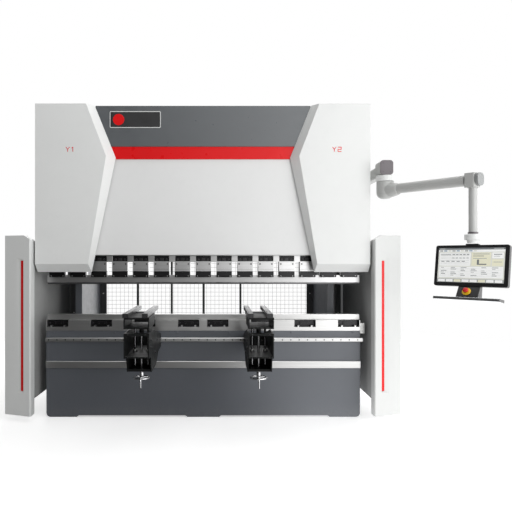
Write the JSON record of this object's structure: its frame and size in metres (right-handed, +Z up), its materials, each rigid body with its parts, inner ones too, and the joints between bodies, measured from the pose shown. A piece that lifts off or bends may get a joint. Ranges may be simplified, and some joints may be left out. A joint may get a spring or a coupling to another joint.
{
  "type": "press brake",
  "caption": "Hydraulic press brake: a ram with clamped punch bends sheet over a die rail; swinging side guards, sliding support arms, back gauge and a swivelling control pendant.",
  "frame": {"origin": "on the floor, under the middle of the bending line (the table plate's middle pad stands on it)", "axes": "+X along the bending line, to the operator's right; +Y towards the rear; +Z up"},
  "size_m": [4.2854, 2.8315, 2.975],
  "materials": {
    "white_paint": "satin powder coat",
    "charcoal_paint": "satin paint",
    "dark_paint": "satin paint",
    "red_paint": "satin paint",
    "ground_steel": "ground",
    "chromed_steel": "polished",
    "black_plastic": "fine grain",
    "grey_cast": "satin paint on cast aluminium",
    "pale_plastic": "satin",
    "pale_plastic_paint": "textured powder coat",
    "screen_glass": "matt touch screen",
    "yellow_plastic": "gloss",
    "red_plastic": "gloss",
    "aluminium": "anodised",
    "wire_mesh": "powder coated wire",
    "motor_paint": "machine enamel"
  },
  "bodies": {
    "frame": {"left_side_frame": "charcoal_paint", "right_side_frame": "charcoal_paint", "table_plate": "charcoal_paint", "table_beam": "ground_steel", "die_rail": "ground_steel", "crowning_end_block": "ground_steel", "upper_arm_rail": "ground_steel", "lower_arm_rail": "ground_steel", "rear_cross_tie": "charcoal_paint", "hydraulic_tank": "charcoal_paint", "pump_motor": "motor_paint", "left_cylinder": "ground_steel", "right_cylinder": "ground_steel", "left_valve_block": "ground_steel", "right_valve_block": "ground_steel", "left_cylinder_cover": "white_paint", "right_cylinder_cover": "white_paint", "top_fascia": "charcoal_paint", "red_band": "red_paint", "electrical_cabinet": "pale_plastic_paint", "rear_guard": "wire_mesh", "pendant_bracket": "grey_cast", "left_guard_post": "dark_paint", "right_guard_post": "dark_paint", "gauge_rails": "ground_steel"},
    "ram": {"ram_plate": "white_paint", "ram_panel": "white_paint", "left_piston_rod": "chromed_steel", "right_piston_rod": "chromed_steel", "punch_clamps": "ground_steel", "punch_bar": "ground_steel"},
    "left_guard": {"left_guard_cover": "white_paint", "left_guard_wall": "dark_paint", "left_guard_inlay": "red_plastic"},
    "right_guard": {"right_guard_cover": "white_paint", "right_guard_wall": "dark_paint", "right_guard_inlay": "red_plastic"},
    "left_arm": {"left_arm_carriage": "dark_paint"},
    "left_arm_top": {"left_arm_frame": "dark_paint", "left_arm_bars": "aluminium"},
    "left_wheel": {"left_handwheel": "chromed_steel"},
    "right_arm": {"right_arm_carriage": "dark_paint"},
    "right_arm_top": {"right_arm_frame": "dark_paint", "right_arm_bars": "aluminium"},
    "right_wheel": {"right_handwheel": "chromed_steel"},
    "gauge": {"gauge_carriage": "dark_paint"},
    "gauge_cross": {"gauge_beam": "aluminium"},
    "left_finger": {"left_gauge_finger": "ground_steel"},
    "right_finger": {"right_gauge_finger": "ground_steel"},
    "door": {"cabinet_door": "pale_plastic_paint"},
    "link": {"pendant_link": "grey_cast"},
    "boom": {"pendant_arm": "grey_cast", "pendant_collar": "pale_plastic"},
    "neck": {"panel_neck": "pale_plastic"},
    "panel": {"panel_housing": "black_plastic", "panel_screen": "screen_glass", "control_box": "black_plastic", "estop_collar": "yellow_plastic", "control_tray": "aluminium"},
    "estop": {"estop_button": "red_plastic"}
  },
  "joints": [
    {"name": "ram_stroke", "type": "slide", "parent": "frame", "child": "ram", "axis": [0, 0, -1], "range_m": [0, 0.26]},
    {"name": "left_guard_swing", "type": "hinge", "parent": "frame", "child": "left_guard", "pos_m": [-1.6, 1.012, 0.9], "axis": [0, 0, 1], "range_deg": [-90, 0]},
    {"name": "right_guard_swing", "type": "hinge", "parent": "frame", "child": "right_guard", "pos_m": [1.6, 1.012, 0.9], "axis": [0, 0, -1], "range_deg": [-90, 0]},
    {"name": "left_arm_travel", "type": "slide", "parent": "frame", "child": "left_arm", "axis": [1, 0, 0], "range_m": [-0.85, 0.4]},
    {"name": "left_arm_height", "type": "slide", "parent": "left_arm", "child": "left_arm_top", "axis": [0, 0, 1], "range_m": [-0.03, 0.03]},
    {"name": "left_wheel_turn", "type": "hinge", "parent": "left_arm", "child": "left_wheel", "pos_m": [-0.507, -0.7, 0.51], "axis": [0, 0, 1], "range_deg": [-1081, 1081]},
    {"name": "right_arm_travel", "type": "slide", "parent": "frame", "child": "right_arm", "axis": [1, 0, 0], "range_m": [-0.4, 0.85]},
    {"name": "right_arm_height", "type": "slide", "parent": "right_arm", "child": "right_arm_top", "axis": [0, 0, 1], "range_m": [-0.03, 0.03]},
    {"name": "right_wheel_turn", "type": "hinge", "parent": "right_arm", "child": "right_wheel", "pos_m": [0.491, -0.7, 0.51], "axis": [0, 0, 1], "range_deg": [-1081, 1081]},
    {"name": "gauge_depth", "type": "slide", "parent": "frame", "child": "gauge", "axis": [0, 1, 0], "range_m": [-0.18, 0.35]},
    {"name": "gauge_height", "type": "slide", "parent": "gauge", "child": "gauge_cross", "axis": [0, 0, 1], "range_m": [0, 0.12]},
    {"name": "left_finger_travel", "type": "slide", "parent": "gauge_cross", "child": "left_finger", "axis": [1, 0, 0], "range_m": [-0.45, 0.25]},
    {"name": "right_finger_travel", "type": "slide", "parent": "gauge_cross", "child": "right_finger", "axis": [1, 0, 0], "range_m": [-0.25, 0.45]},
    {"name": "cabinet_door_swing", "type": "hinge", "parent": "frame", "child": "door", "pos_m": [1.8125, 1.574, 1.3], "axis": [0, 0, 1], "range_deg": [0, 110]},
    {"name": "pendant_base_swivel", "type": "hinge", "parent": "frame", "child": "link", "pos_m": [1.69, 0.55, 2.34], "axis": [0, 0, 1], "range_deg": [0, 50]},
    {"name": "pendant_elbow_swivel", "type": "hinge", "parent": "link", "child": "boom", "pos_m": [1.691, -0.3, 2.26], "axis": [0, 0, 1], "range_deg": [-60, 20]},
    {"name": "panel_swivel", "type": "hinge", "parent": "boom", "child": "neck", "pos_m": [2.206, -0.95, 1.7], "axis": [0, 0, 1], "range_deg": [-60, 60]},
    {"name": "panel_tilt", "type": "hinge", "parent": "neck", "child": "panel", "pos_m": [2.206, -0.95, 1.642], "axis": [0.7071, -0.7071, 0], "range_deg": [-8, 12]},
    {"name": "estop_press", "type": "slide", "parent": "panel", "child": "estop", "axis": [0.5688, 0.5688, -0.5941], "range_m": [0, 0.005], "stiffness_N_per_m": 2000}
  ],
  "couplings": [
    {"joint": "left_wheel_turn", "follows": "left_arm_height", "rad_per_m": 628.32},
    {"joint": "right_wheel_turn", "follows": "right_arm_height", "rad_per_m": 628.32}
  ]
}
